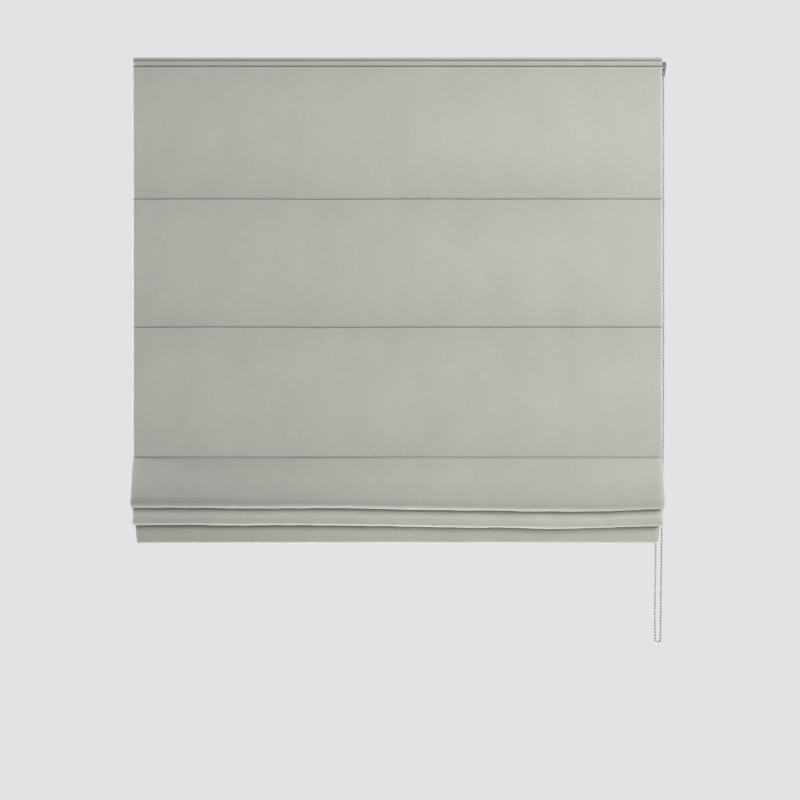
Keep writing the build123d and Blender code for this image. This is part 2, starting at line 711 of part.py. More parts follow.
with BuildPart() as chain_connector:
    with BuildSketch(Plane.XY.offset(connector_top_z - connector_length)):
        with Locations((wheel_x, bead_circle_r)):
            Circle(bead_r + fit_gap + connector_wall)
            Circle(bead_r + fit_gap, mode=Mode.SUBTRACT)
        with Locations((wheel_x, bead_circle_r + bead_r)):
            Rectangle(connector_slot, 2 * bead_r, mode=Mode.SUBTRACT)
    extrude(amount=connector_length)
save(chain_connector, "chain_connector")

# ---- What was worked out, for the record ----
print("chain radii:", [round(radius, 1) for radius in chain_radii])
print("chain tube length:", round(chain_length, 1))
print("chain tube volume:", round(bead_chain.part.volume, 1),
      "section x length:", round(math.pi * bead_r ** 2 * chain_length, 1))
print("face fabric, flat:", cloth_width, "x", round(path_length(face_points, face_radii), 1))
print("lining, flat:", cloth_width - 2 * lining_inset, "x", round(path_length(lining_points, lining_radii), 1),
      "and five pockets of", round(2 * math.pi * pocket_mid_r, 1))
print("upper fold:", round(path_length([panel_path[1]] + upper_fold, upper_radii[1:5]) + pinch_half, 1))
print("lower fold:", round(path_length(lower_fold, lower_radii[1:6]) + 2 * pinch_half, 1))
print("flap:", round(path_length(flap, flap_radii[1:]) + pinch_half, 1))
print("rod places:", [(round(y, 2), round(z, 2)) for y, z in rod_places])
print("lift cord, straight run:", round(axis_z - cord_end_z, 1),
      "wound:", round(wound_turns * 2 * math.pi * wind_r, 1))
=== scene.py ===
"""Looks of a lined, chain-operated Roman blind, part raised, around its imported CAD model.

Metres, +X towards the chain, -Y to the room, +Z up. The origin is in the plane where the three
brackets meet the ceiling of the window recess.
"""
import math

import bpy
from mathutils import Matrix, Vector, noise


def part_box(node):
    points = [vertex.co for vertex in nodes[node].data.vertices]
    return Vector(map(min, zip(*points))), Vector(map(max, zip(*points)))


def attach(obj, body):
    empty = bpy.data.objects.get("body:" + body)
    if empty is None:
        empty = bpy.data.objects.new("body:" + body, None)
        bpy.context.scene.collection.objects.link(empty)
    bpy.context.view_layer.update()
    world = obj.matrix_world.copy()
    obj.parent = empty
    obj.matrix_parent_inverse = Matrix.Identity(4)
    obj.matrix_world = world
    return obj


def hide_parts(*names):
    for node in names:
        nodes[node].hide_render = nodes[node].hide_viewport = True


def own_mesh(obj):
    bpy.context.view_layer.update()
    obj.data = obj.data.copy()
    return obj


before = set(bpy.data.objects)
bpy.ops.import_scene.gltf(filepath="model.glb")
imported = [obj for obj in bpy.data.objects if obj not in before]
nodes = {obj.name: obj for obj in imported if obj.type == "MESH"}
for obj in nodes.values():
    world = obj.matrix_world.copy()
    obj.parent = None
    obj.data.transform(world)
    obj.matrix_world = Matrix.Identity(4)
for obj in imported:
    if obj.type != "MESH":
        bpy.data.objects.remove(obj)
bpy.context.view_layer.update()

# ---- Sizes taken from the frame ----
cloth_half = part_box("face_fabric")[1].x
lining_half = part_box("lining")[1].x
wheel_low, wheel_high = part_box("chain_on_wheel")

# ---- Cloth ----
face_thick = 0.0008
lining_thick = 0.0005
face_y = -0.022              # of the cloth's middle on the header and the panels
lining_offset = 0.00095      # from the face cloth's middle to the lining's
header_top_z = -0.001
lining_top_z = -0.003
header_foot_z = -0.0185      # the hook tape and the stitching hold the cloth down to here
seam_z = (-0.285, -0.544, -0.8063)
face_rims = (0.0036, 0.0022)     # radius of the turned side, on the panels and pressed flatter in the folds
lining_rims = (0.0006, 0.0006)
fold_lengths = (0.2206, 0.2369)
fold_lift = 0.0025           # the folds' feet hang this much higher than the frame's lowest line
stitch_zs = (-0.0067, -0.0183)
crease_drops = (0.0014, 0.0013, 0.0020)     # each crease shows this far below its seam

# Section of the cloth below the third seam: corners (y, z) with their radii.
fold_corners = [
    ((-0.060, -0.8923), 0.022), ((-0.060, -0.9114), 0.0105), ((-0.038, -0.9114), 0.0105),
    ((-0.027, -0.830), 0.010), ((-0.025, -0.8205), 0.0014), ((-0.022, -0.8205), 0.0014),
    ((-0.0252, -0.838), 0.007), ((-0.037, -0.9303), 0.012), ((-0.037, -0.9463), 0.0062),
    ((-0.024, -0.9463), 0.0062), ((-0.0232, -0.855), 0.008), ((-0.0225, -0.847), 0.0014),
    ((-0.0195, -0.847), 0.0014), ((-0.0178, -0.858), 0.009),
]
hem_corners = [
    ((-0.013, -0.9816), 0.0024), ((-0.007, -0.9816), 0.0024), ((-0.0072, -0.9526), 0.003),
]
hem_end = (-0.0121, -0.9486)
fold_feet_z = (-0.9110, -0.9455)
hem_foot_z = -0.9815
lining_foot_z = -0.9526      # the lining ends here, inside the hem

# ---- How the cloth hangs. A pair is a depth and the width over which it shows. ----
tuck = (0.0014, 0.0022)      # the cloth is drawn in at each seam
dent = (0.0009, 0.001)       # and along the header's stitching
panel_swell = 0.0016         # to the room, in the middle of each panel
next_panel = 0.16            # height of the part below the third seam that swells like a panel
wander_broad, wander_fine = 0.0009, 0.0004      # how far the creases run high or low
face_calm, lining_calm = 0.03, 0.04             # the cloth lies flat this near a seam
panel_pucker = 0.0007
fold_puckers = (0.0016, 0.0016, 0.0008)     # on the upper fold, the lower fold and the hem's back
upper_fold_back = 0.0006     # the upper fold's foot stands this much further back
sag_depth = 0.0072           # of the folds' feet, at the share sag_middle of the blind's width
sag_middle, sag_width = 0.8, 0.3
sag_shares = (0.87, 0.93)    # of the sag that the upper and the lower fold show
lift_shares = (1.2, 1.0)     # and of fold_lift
foot_power = 0.6             # the lower this is, the more of a fold moves down with its foot
crumple_depth = 0.0007
fold_in, hem_in, foot_in = 0.0014, 0.0022, 0.0025      # each side is pulled in by so much
lining_pucker = 0.0003
lining_follow = 0.4          # share of the face cloth's unevenness that the lining shows

# ---- Painted shading: tones, as shares of the cloth's colour, that paint shade, shadow and highlight on the face cloth. What is dark or light is taken off or added. ----
# painted shade at the panels' edges and painted light in their middles
panel_edge_painted_shade, panel_middle_painted_light = 0.93, 0.07
# painted shade in the crease at each seam
crease_painted_shade, crease_width = 0.50, 0.0013
stitch_line_painted_shade, line_width = 0.66, 0.0012            # painted shade along the header's stitching
fold_painted_shade_level, front_painted_shade = 0.95, 0.05             # painted shade of the folds, and more painted shade off it on the upper fold's front
deep_painted_shade, deep_width = 0.12, 0.02              # painted shade where the folds meet their rods
left_painted_shade, left_front_painted_shade = 0.07, 0.09         # painted shade towards the left side
low_painted_shade = 0.07                                 # painted shade above the upper fold's foot
upper_shadow, lower_shadow, shadow_width = 0.30, 0.28, 0.006       # behind the two folds' feet
# painted shade on the hem
hem_painted_shade = 0.05
foot_painted_highlight, side_painted_highlight = 0.16, 0.14             # painted highlight at the hem's foot and on the turned sides

# ---- Chain ----
bead_diameter = 0.0045
bead_pitch = 0.006
link_radius = 0.0006
wheel_pockets = 14
chain_x = (wheel_low.x + wheel_high.x) / 2
axis_z = wheel_low.z
bead_circle_r = wheel_high.y - bead_diameter / 2
chain_straight_z = -0.330    # down to here both strands hang straight from the wheel
chain_points = [             # control points of the loop, x from the chain's plane
    (0.0005, -0.0110, -0.640), (0.0002, -0.0075, -0.850), (-0.0022, -0.0038, -0.985),
    (-0.0030, -0.0020, -1.070), (-0.0033, -0.0010, -1.120), (-0.0035, -0.0005, -1.148),
    (-0.0037, -0.0002, -1.164), (-0.0038, 0.0, -1.174), (-0.00385, 0.0001, -1.1827),
    (-0.0070, 0.0002, -1.1858), (-0.0114, 0.0004, -1.1858), (-0.01455, 0.0006, -1.1827),
    (-0.0146, 0.0009, -1.174), (-0.01465, 0.0014, -1.164), (-0.0147, 0.0024, -1.148),
    (-0.0144, 0.0040, -1.120), (-0.0136, 0.0058, -1.070), (-0.0122, 0.0084, -0.985),
    (-0.0085, 0.0106, -0.850), (-0.0042, 0.0124, -0.640),
]


# ---------------------------------------------------------------- node tree helpers
class Shader:
    """A material's node tree, with short calls to add and join nodes.

    The Mix node's sockets 6 and 7 are its two colours, and its output 2 is the mixed colour.
    """

    def __init__(self, name):
        self.material = bpy.data.materials.new(name)
        self.material.use_nodes = True
        self.tree = self.material.node_tree
        self.surface = self.tree.nodes["Principled BSDF"]

    def add(self, kind, sockets=None, **settings):
        made = self.tree.nodes.new("ShaderNode" + kind)
        for key, value in settings.items():
            setattr(made, key, value)
        for key, value in (sockets or {}).items():
            if isinstance(value, bpy.types.NodeSocket):
                self.tree.links.new(value, made.inputs[key])
            else:
                made.inputs[key].default_value = value
        return made

    def math(self, operation, a, b):
        return self.add("Math", {0: a, 1: b}, operation=operation).outputs[0]

    def ramp(self, value, low, high, to_low=0.0, to_high=1.0):
        return self.add("MapRange", {"Value": value, "From Min": low, "From Max": high,
                                     "To Min": to_low, "To Max": to_high}).outputs[0]

    def place(self, scale):
        """Object coordinates, stretched by three scales per metre."""
        where = self.add("TexCoord").outputs["Object"]
        return self.add("Mapping", {"Vector": where, "Scale": scale}).outputs[0]

    def noise(self, where, detail):
        return self.add("TexNoise", {"Vector": where, "Scale": 1.0, "Detail": detail}).outputs[0]

    def tint(self, colour, factor):
        """The colour, made lighter or darker by a factor around 1."""
        grey = self.add("CombineColor", {0: factor, 1: factor, 2: factor}).outputs[0]
        mixed = self.add("Mix", {"Factor": 1.0, 6: colour, 7: grey}, data_type="RGBA",
                         blend_type="MULTIPLY")
        return mixed.outputs[2]

    def bump(self, height, distance):
        made = self.add("Bump", {"Height": height, "Distance": distance, "Strength": 1.0})
        self.join(made.outputs[0], "Normal")

    def join(self, output, socket):
        self.tree.links.new(output, self.surface.inputs[socket])

    def set(self, **values):
        for key, value in values.items():
            self.surface.inputs[key.replace("_", " ")].default_value = value


def srgb(red, green, blue):
    """A linear colour from the 0 to 255 values that a screen shows."""
    def linear(v):
        v /= 255
        return v / 12.92 if v <= 0.04045 else ((v + 0.055) / 1.055) ** 2.4
    return linear(red), linear(green), linear(blue), 1.0


# ---------------------------------------------------------------- materials
wave_scale = 0.314           # of a band texture whose bands lie one metre apart
braid_angle = 0.6            # between a braided cord's strands and its rounds


def woven(name, colour, thread, slub, relief):
    """Plain-woven cloth: crossing threads, uneven slubs both ways, broad soft mottling, and the painted
    shade and highlight that each point's tone carries.
    """
    s = Shader(name)
    flat = s.add("Attribute", attribute_name="flat").outputs["Vector"]

    def streaks(across, along, detail=2.0):
        where = s.add("Mapping", {"Vector": flat, "Scale": (across, along, 1.0)}).outputs[0]
        return s.noise(where, detail)

    threads = []
    for direction in ("X", "Y"):
        sockets = {"Vector": flat, "Scale": wave_scale / thread, "Distortion": 1.2, "Detail": 1.0,
                   "Detail Scale": 0.6}
        wave = s.add("TexWave", sockets, wave_type="BANDS", bands_direction=direction)
        threads.append(wave.outputs["Fac"])
    weave = s.math("MULTIPLY", s.math("ADD", threads[0], threads[1]), 0.5)
    weft = streaks(55.0, 850.0)
    warp = streaks(850.0, 55.0)
    long_weft = s.ramp(streaks(11.0, 420.0, 3.0), 0.56, 0.78)
    long_warp = s.ramp(streaks(420.0, 11.0, 3.0), 0.58, 0.80)
    cloud = streaks(14.0, 9.0, 4.0)
    fine = s.math("ADD", weft, warp)
    factor = s.ramp(fine, 0.6, 1.4, 1 - slub, 1 + slub)
    factor = s.math("ADD", factor, s.math("MULTIPLY", long_weft, -slub * 0.4))
    factor = s.math("ADD", factor, s.math("MULTIPLY", long_warp, slub * 0.8))
    factor = s.math("MULTIPLY", factor, s.ramp(cloud, 0.3, 0.7, 0.972, 1.028))
    factor = s.math("MULTIPLY", factor, s.ramp(weave, 0.1, 0.9, 0.97, 1.02))
    # each point's tone paints shade, shadow and highlight into the colour
    shade = s.add("Attribute", attribute_name="tone").outputs["Fac"]
    factor = s.math("MULTIPLY", factor, shade)
    s.join(s.tint(colour, factor), "Base Color")
    height = s.math("ADD", weave, s.math("MULTIPLY", fine, 0.8))
    height = s.math("ADD", height, s.math("MULTIPLY", s.math("ADD", long_weft, long_warp), 0.5))
    s.bump(height, relief)
    s.set(Roughness=0.92, Specular_IOR_Level=0.18, Sheen_Weight=0.15, Sheen_Roughness=0.5)
    return s.material


def metal(name, colour, roughness, grain, relief):
    """Metal with drawn or rolled lines; grain stretches them along one direction."""
    s = Shader(name)
    lines = s.noise(s.place(grain), 3.0)
    patches = s.noise(s.place((25.0, 25.0, 25.0)), 2.0)
    s.join(s.tint(colour, s.ramp(patches, 0.3, 0.7, 0.94, 1.05)), "Base Color")
    s.join(s.ramp(lines, 0.3, 0.7, roughness - 0.06, roughness + 0.08), "Roughness")
    s.bump(lines, relief)
    s.set(Metallic=1.0)
    return s.material


def moulded(name, colour, roughness=0.42, relief=0.00003, clear=0.0, grain=(900.0, 900.0, 900.0)):
    """Moulded plastic with a fine spark-eroded skin and slight flow marks."""
    s = Shader(name)
    skin = s.noise(s.place(grain), 2.0)
    flow = s.noise(s.place((40.0, 40.0, 40.0)), 3.0)
    s.join(s.tint(colour, s.ramp(flow, 0.3, 0.7, 0.97, 1.02)), "Base Color")
    s.join(s.ramp(flow, 0.3, 0.7, roughness - 0.05, roughness + 0.06), "Roughness")
    s.bump(skin, relief)
    s.set(Transmission_Weight=clear)
    return s.material


def pile(name, colour):
    """The woven pile of hook-and-loop tape, with a selvedge rib."""
    s = Shader(name)
    fuzz = s.noise(s.place((1400.0, 1400.0, 1400.0)), 3.0)
    ribs = s.noise(s.place((700.0, 60.0, 60.0)), 1.0)
    mixed = s.math("ADD", fuzz, ribs)
    s.join(s.tint(colour, s.ramp(mixed, 0.6, 1.4, 0.84, 1.06)), "Base Color")
    s.bump(mixed, 0.0004)
    s.set(Roughness=0.95, Sheen_Weight=0.3)
    return s.material


def braided(name, colour, pitch):
    """Braided cord: two sets of strands crossing round it."""
    s = Shader(name)
    sets = []
    for turn in (1.0, -1.0):
        where = s.add("TexCoord").outputs["Object"]
        lean = (0.0, turn * braid_angle, 0.0)
        leaned = s.add("Mapping", {"Vector": where, "Rotation": lean}).outputs[0]
        wave = s.add("TexWave", {"Vector": leaned, "Scale": wave_scale / pitch},
                     wave_type="BANDS", bands_direction="Z")
        sets.append(wave.outputs["Fac"])
    strands = s.math("MULTIPLY", sets[0], sets[1])
    s.join(s.tint(colour, s.ramp(strands, 0.0, 0.6, 0.78, 1.03)), "Base Color")
    s.bump(strands, 0.0002)
    s.set(Roughness=0.75)
    return s.material


FACE = woven("linen_face", srgb(196, 196, 188), 0.00075, 0.06, 0.00016)
LINING = woven("plain_lining", srgb(236, 233, 224), 0.0005, 0.02, 0.0001)
TAPE = pile("tape_pile", srgb(233, 232, 226))
RAIL = metal("rail_aluminium", srgb(198, 199, 201), 0.46, (4.0, 900.0, 900.0), 0.00001)
BRACKET = metal("zinc_plate", srgb(186, 188, 193), 0.38, (120.0, 120.0, 120.0), 0.00002)
SPRING = metal("spring_wire", srgb(176, 178, 184), 0.24, (300.0, 300.0, 300.0), 0.00001)
SHAFT = metal("drawn_bar", srgb(198, 199, 202), 0.3, (6.0, 1200.0, 1200.0), 0.00001)
BAR = metal("mill_aluminium", srgb(196, 197, 199), 0.42, (5.0, 800.0, 800.0), 0.00002)
CHAIN = metal("bead_nickel", srgb(146, 145, 142), 0.22, (500.0, 500.0, 500.0), 0.000008)
WHITE = moulded("white_plastic", srgb(232, 232, 229))
GREY = moulded("grey_plastic", srgb(128, 129, 128))
CLEAR = moulded("natural_nylon", srgb(238, 237, 230), 0.3, 0.00001, clear=0.35)
ROD = moulded("pultruded_rod", srgb(236, 231, 208), 0.5, 0.00004, grain=(20.0, 1500.0, 1500.0))
CORD = braided("braided_cord", srgb(234, 233, 228), 0.0012)
THREAD = braided("sewing_thread", srgb(112, 111, 105), 0.0004)

PLACES = ("left", "centre", "right")
FINISHES = {
    "headrail": (RAIL, "rail_metal"),
    "end_cap": (WHITE, "white_plastic"),
    "control_housing": (GREY, "grey_plastic"),
    "control_cover": (GREY, "grey_plastic"),
    "cover_screws": (BRACKET, "bracket_steel"),
    "bracket_pivots": (BRACKET, "bracket_steel"),
    "loop_tape": (TAPE, "tape"),
    "hook_tape": (TAPE, "tape"),
    "drive_shaft": (SHAFT, "shaft_metal"),
    "output_hub": (GREY, "grey_plastic"),
    "chain_wheel": (GREY, "grey_plastic"),
    "wrap_spring": (SPRING, "spring_steel"),
    "weight_bar": (BAR, "bar_metal"),
    "weight_bar_caps": (WHITE, "white_plastic"),
    "chain_connector": (CLEAR, "clear_plastic"),
}
FINISHES.update({f"bracket_{place}": (BRACKET, "bracket_steel") for place in PLACES})
FINISHES.update({f"bracket_cam_{place}": (BRACKET, "bracket_steel") for place in PLACES})
FINISHES.update({f"spool_{place}": (GREY, "grey_plastic") for place in PLACES})
FINISHES.update({f"spool_cradle_{place}": (WHITE, "white_plastic") for place in PLACES})
FINISHES.update({f"cord_lock_{place}": (CLEAR, "clear_plastic") for place in PLACES})
for number in range(1, 6):
    FINISHES[f"rod_{number}"] = (ROD, "fibreglass")
    FINISHES[f"rod_caps_{number}"] = (CLEAR, "clear_plastic")
    FINISHES[f"cord_rings_{number}"] = (CLEAR, "clear_plastic")


# ---------------------------------------------------------------- mesh helpers
def new_object(name, points, faces, material):
    """A smooth-shaded mesh object in the frame's place, with its finish."""
    mesh = bpy.data.meshes.new(name)
    mesh.from_pydata(points, [], faces)
    mesh.polygons.foreach_set("use_smooth", [True] * len(faces))
    mesh.materials.append(material)
    mesh.update()
    made = bpy.data.objects.new(name, mesh)
    bpy.context.scene.collection.objects.link(made)
    return made


def smoothstep(low, high, value):
    t = min(1.0, max(0.0, (value - low) / (high - low)))
    return t * t * (3 - 2 * t)


def bell(value, middle, width):
    return math.exp(-((value - middle) / width) ** 2)


def line_to(points, end, step):
    """Adds points on a straight run from the last one to end."""
    start = points[-1]
    count = max(1, round(math.dist(start, end) / step))
    for i in range(1, count + 1):
        t = i / count
        points.append(tuple(p + (q - p) * t for p, q in zip(start, end)))


def rounded(start, corners, end, step):
    """Points along a path with rounded corners, about one step apart."""
    points = [start]
    path = [start] + [corner for corner, _ in corners] + [end]
    for before, (corner, radius), after in zip(path, corners, path[2:]):
        to_before = (Vector(before) - Vector(corner)).normalized()
        to_after = (Vector(after) - Vector(corner)).normalized()
        half = to_before.angle(to_after) / 2
        centre = Vector(corner) + (to_before + to_after).normalized() * (radius / math.sin(half))
        first = Vector(corner) + to_before * (radius / math.tan(half)) - centre
        last = Vector(corner) + to_after * (radius / math.tan(half)) - centre
        line_to(points, tuple(centre + first), step)
        start_angle = math.atan2(first.y, first.x)
        turn = (math.atan2(last.y, last.x) - start_angle + math.pi) % (2 * math.pi) - math.pi
        count = max(2, math.ceil(abs(turn) * radius / step), math.ceil(abs(turn) / 0.4))
        for i in range(1, count + 1):
            angle = start_angle + turn * i / count
            points.append((centre.x + radius * math.cos(angle), centre.y + radius * math.sin(angle)))
    line_to(points, end, step)
    return points


def tube(name, routes, radius, sides, material):
    """Round tubes along one or more lists of points, with closed ends."""
    points, faces = [], []
    for route in routes:
        start = len(points)
        side = None
        for i, place in enumerate(route):
            place = Vector(place)
            way = (Vector(route[min(i + 1, len(route) - 1)]) - Vector(route[max(i - 1, 0)])).normalized()
            if side is None:
                side = way.orthogonal().normalized()
            side = (side - way * side.dot(way)).normalized()
            other = way.cross(side)
            for k in range(sides):
                angle = 2 * math.pi * k / sides
                points.append(place + radius * (math.cos(angle) * side + math.sin(angle) * other))
        for i in range(len(route) - 1):
            low = start + i * sides
            for k in range(sides):
                after = (k + 1) % sides
                faces.append((low + k, low + after, low + sides + after, low + sides + k))
        faces.append(tuple(range(start + sides - 1, start - 1, -1)))
        faces.append(tuple(range(start + (len(route) - 1) * sides, start + len(route) * sides)))
    return new_object(name, points, faces, material)


# ---------------------------------------------------------------- cloth
# Paths are lists of (y, z) down the cloth. A place on the cloth is (x, s, z), with s the length of
# cloth above it. A shape function gives its move to the room and down, and a tone function its
# share of the cloth's colour, with painted shade and highlight on the face cloth.
panel_edges = (header_foot_z,) + seam_z
seam_s = header_top_z - seam_z[2]
flat_steps = ((0.0032, 0.0006), (0.008, 0.0016), (math.inf, 0.0075))     # (up to here from a seam, step)
shortest_step = 0.0003
fold_step = 0.0028
tiny = 1e-6
rim_steps = 5                # of each half of a turned side
face_columns, face_fold_columns = 110, 150
lining_header_columns, lining_columns = 50, 60


def straight(z_from, z_to, dense):
    """Places down the flat cloth, closer together near the heights in dense."""
    places = [z_from]
    while places[-1] > z_to + tiny:
        near = min(abs(places[-1] - z) for z in dense)
        step = next(length for reach, length in flat_steps if near < reach)
        ahead = [z for z in dense if places[-1] - step < z < places[-1] - tiny]
        places.append(max(z_to, ahead[0] if ahead else places[-1] - step))
    if len(places) > 2 and places[-2] - places[-1] < shortest_step:
        del places[-2]
    return [(face_y, z) for z in places]


def arch(z, edges):
    """Rises from 0 at the edges of a panel to 1 in its middle, and is 0 outside all panels."""
    for top, bottom in zip(edges, edges[1:]):
        if bottom <= z <= top:
            return math.sin(math.pi * (top - z) / (top - bottom))
    return 0.0


def calm_at_seams(z, reach):
    """0 at a seam or the header's foot, 1 from reach away."""
    return min(1.0, min(abs(z - edge) for edge in panel_edges) / reach)


def tucked(gap):
    """How far the cloth stands out again at a distance from a seam."""
    return tuck[0] * (1 - math.exp(-gap / tuck[1]))


def belly(z):
    """How far a panel swells to the room at a height, with a sharp tuck at each seam."""
    swell = panel_swell * arch(z, panel_edges + (seam_z[2] - next_panel,))
    gaps = [abs(z - header_foot_z)] + [abs(z - seam + drop) for seam, drop in zip(seam_z, crease_drops)]
    return tucked(min(gaps)) + swell


def stitch_dent(z):
    """The cloth is drawn in along the two lines of stitching on the header."""
    return -dent[0] * max(bell(z, line, dent[1]) for line in stitch_zs)


def unevenness(x, s, across, along, seed):
    """Smooth noise about -1 to 1, with so many waves a metre across the cloth and along it."""
    return noise.noise(Vector((x * across, s * along, seed)))


def wander(x):
    """How far the creases run high or low along the blind."""
    return (wander_broad * unevenness(x, 0.0, 4.0, 0.0, 31.0)
            + wander_fine * unevenness(x, 0.0, 15.0, 0.0, 37.0))


def pucker(x, s, seed):
    """Soft unevenness of hand-made cloth, about -1 to 1."""
    return unevenness(x, s, 5.0, 6.0, seed) + 0.45 * unevenness(x, s, 17.0, 22.0, seed + 7.0)


def crumple(x, s):
    """Small creases pressed into the folds, strongest near their feet; s is from the third seam."""
    first, second = fold_lengths
    near = bell(s, first / 2, 0.04) + bell(s, first + second / 2, 0.04)
    return crumple_depth * near * unevenness(x, s, 34.0, 60.0, 43.0)


def sag(x):
    """How far the folds hang down along the blind: most of all right of the middle."""
    t = (x + cloth_half) / (2 * cloth_half)
    return sag_depth * bell(t, sag_middle, sag_width) * (1 - 0.5 * smoothstep(0.87, 1.0, t))


def flat_shape(x, s, z):
    """The move of header and panels."""
    calm = 0.0 if z > header_foot_z else calm_at_seams(z, face_calm)
    return belly(z + wander(x)) + stitch_dent(z) + panel_pucker * calm * pucker(x, s, 1.0), 0.0


def fold_shape(x, s, z):
    """The move of the cloth below the third seam: puckers, small creases and sag."""
    s -= seam_s
    first, second = fold_lengths
    if s < first:
        swell = math.sin(math.pi * s / first)
        out = tucked(abs(s - crease_drops[2] - wander(x))) * smoothstep(0.16, 0.05, s)
        out += swell * (fold_puckers[0] * pucker(x, s, 3.0) - upper_fold_back) + crumple(x, s)
        down = sag_shares[0] * sag(x) - lift_shares[0] * fold_lift
        return out, down * swell ** foot_power * smoothstep(0.0, 0.06, s)
    if s < first + second:
        swell = math.sin(math.pi * (s - first) / second)
        out = fold_puckers[1] * swell * pucker(x * 1.6, s, 5.0) + crumple(x, s)
        return out, (sag_shares[1] * sag(x) - lift_shares[1] * fold_lift) * swell ** foot_power
    beyond = s - first - second
    swell = smoothstep(0.0, 0.05, beyond) * smoothstep(0.20, 0.12, beyond)
    return fold_puckers[2] * swell * pucker(x * 1.6, s, 9.0), 0.0


def draw_in(s, z):
    """How far each side is pulled in, s from the third seam: none on the panels, most at the hem's foot."""
    first, second = fold_lengths
    both = first + second
    folds = fold_in * smoothstep(0.02, 0.10, s)
    hem = hem_in * smoothstep(first + 0.5 * second + 0.03, both, s)
    foot = foot_in * smoothstep(-0.955, -0.981, z) * smoothstep(both, both + 0.05, s)
    return folds + hem + foot


def flat_painted_shading(x, s, z):
    """Painted light in the panels' middles, and painted shade along the stitching and the tucks."""
    if z < header_foot_z - 0.01:
        z += wander(x)
    light = panel_edge_painted_shade + panel_middle_painted_light * arch(z, panel_edges) ** 0.8
    crease = max(bell(z, seam - drop, crease_width) for seam, drop in zip(seam_z, crease_drops))
    line = max(bell(z, place, line_width) for place in stitch_zs)
    return light * (1 - crease_painted_shade * crease) * (1 - stitch_line_painted_shade * line)


def fold_painted_shading(x, s, z):
    """Painted shade in the crease, deep in the folds and behind their feet, painted highlight at the hem's
    foot.
    """
    s -= seam_s
    first, second = fold_lengths
    crease = bell(s, crease_drops[2] + wander(x), crease_width)
    deep = max(bell(s, first, deep_width), bell(s, first + second, deep_width))
    # painted shade on the upper fold's front, towards the left and above the upper fold's foot, painted
    # highlight on the turned sides and at the hem's foot
    front = smoothstep(0.12, 0.09, s)
    left = (left_painted_shade + left_front_painted_shade * front) * smoothstep(0.05, -0.5, x)
    low = low_painted_shade * smoothstep(0.04, 0.095, s) * smoothstep(0.13, 0.11, s)
    side = side_painted_highlight * bell(cloth_half - abs(x), 0.005, 0.004)
    foot = foot_painted_highlight * bell(z, hem_foot_z, 0.003)
    # painted shadow behind the folds' feet, and painted shade on the hem
    under = 0.0
    if first < s < first + 0.55 * second:
        under = upper_shadow * bell(z, fold_feet_z[0], shadow_width)
    elif s > first + 0.8 * second:
        under = hem_painted_shade + lower_shadow * bell(z, fold_feet_z[1], shadow_width)
    light = (fold_painted_shade_level - front_painted_shade * front) * (1 - crease_painted_shade * crease) * (1 - deep_painted_shade * deep)
    return light * (1 - low) * (1 - under) * (1 + foot) * (1 + side) * (1 - left)


def plain_tone(x, s, z):
    return 1.0


def mark_cloth(mesh, flat, tones):
    """Gives each point its place on the flat cloth and its tone, which carries the painted shade and
    highlight and which the woven materials read.
    """
    mesh.attributes.new("flat", "FLOAT_VECTOR", "POINT").data.foreach_set(
        "vector", [v for place in flat for v in place])
    mesh.attributes.new("tone", "FLOAT", "POINT").data.foreach_set("value", tones)


def cloth(name, path, s_start, columns, shape, tone, half, thick, rims, offset, material, slot):
    """A sheet of cloth across the blind, down a path that starts s_start down the cloth.

    Its sides are closed and rounded, with the radii in rims, and draw in on the folds and the hem.
    offset moves the sheet behind the path.
    """
    lengths = [s_start]
    for a, b in zip(path, path[1:]):
        lengths.append(lengths[-1] + math.dist(a, b))
    xs = [(-1.0, math.pi / 2 * (rim_steps - i) / rim_steps) for i in range(rim_steps)]
    xs += [(-1 + 2 * i / columns, 0.0) for i in range(columns + 1)]
    xs += [(1.0, math.pi / 2 * (i + 1) / rim_steps) for i in range(rim_steps)]
    layers = ([], [])
    flat, tones = [], []
    points, faces = [], []
    for layer, side in enumerate((1, -1)):
        for i, ((y, z), s) in enumerate(zip(path, lengths)):
            (y0, z0), (y1, z1) = path[max(i - 1, 0)], path[min(i + 1, len(path) - 1)]
            length = math.hypot(y1 - y0, z1 - z0)
            normal = ((z1 - z0) / length, (y0 - y1) / length)
            reach = half - draw_in(s - seam_s, z)
            radius = rims[0] + (rims[1] - rims[0]) * smoothstep(0.80, 0.84, s)
            row = []
            for share, angle in xs:
                arm = radius - thick / 2 + side * thick / 2
                x = share * (reach - radius) + math.copysign(arm * math.sin(angle), share)
                out, down = shape(x, s, z)
                out += arm * math.cos(angle) - (radius - thick / 2) - offset
                row.append(len(points))
                points.append((x, y + normal[0] * out, z + normal[1] * out - down))
                flat.append((x + cloth_half, s, 0.0))
                tones.append(tone(x, s, z))
            layers[layer].append(row)
    front, back = layers
    for i in range(len(path) - 1):
        for k in range(len(xs) - 1):
            faces.append((front[i][k], front[i + 1][k], front[i + 1][k + 1], front[i][k + 1]))
            faces.append((back[i][k], back[i][k + 1], back[i + 1][k + 1], back[i + 1][k]))
        faces.append((front[i][0], back[i][0], back[i + 1][0], front[i + 1][0]))
        faces.append((front[i][-1], front[i + 1][-1], back[i + 1][-1], back[i][-1]))
    for k in range(len(xs) - 1):
        faces.append((front[0][k], front[0][k + 1], back[0][k + 1], back[0][k]))
        faces.append((front[-1][k], back[-1][k], back[-1][k + 1], front[-1][k + 1]))
    made = new_object(name, points, faces, material)
    mark_cloth(made.data, flat, tones)
    return made


def gathering(piece):
    """Attaches a flat piece to the root and gives it a mesh of its own."""
    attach(piece, "root")
    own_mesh(piece)


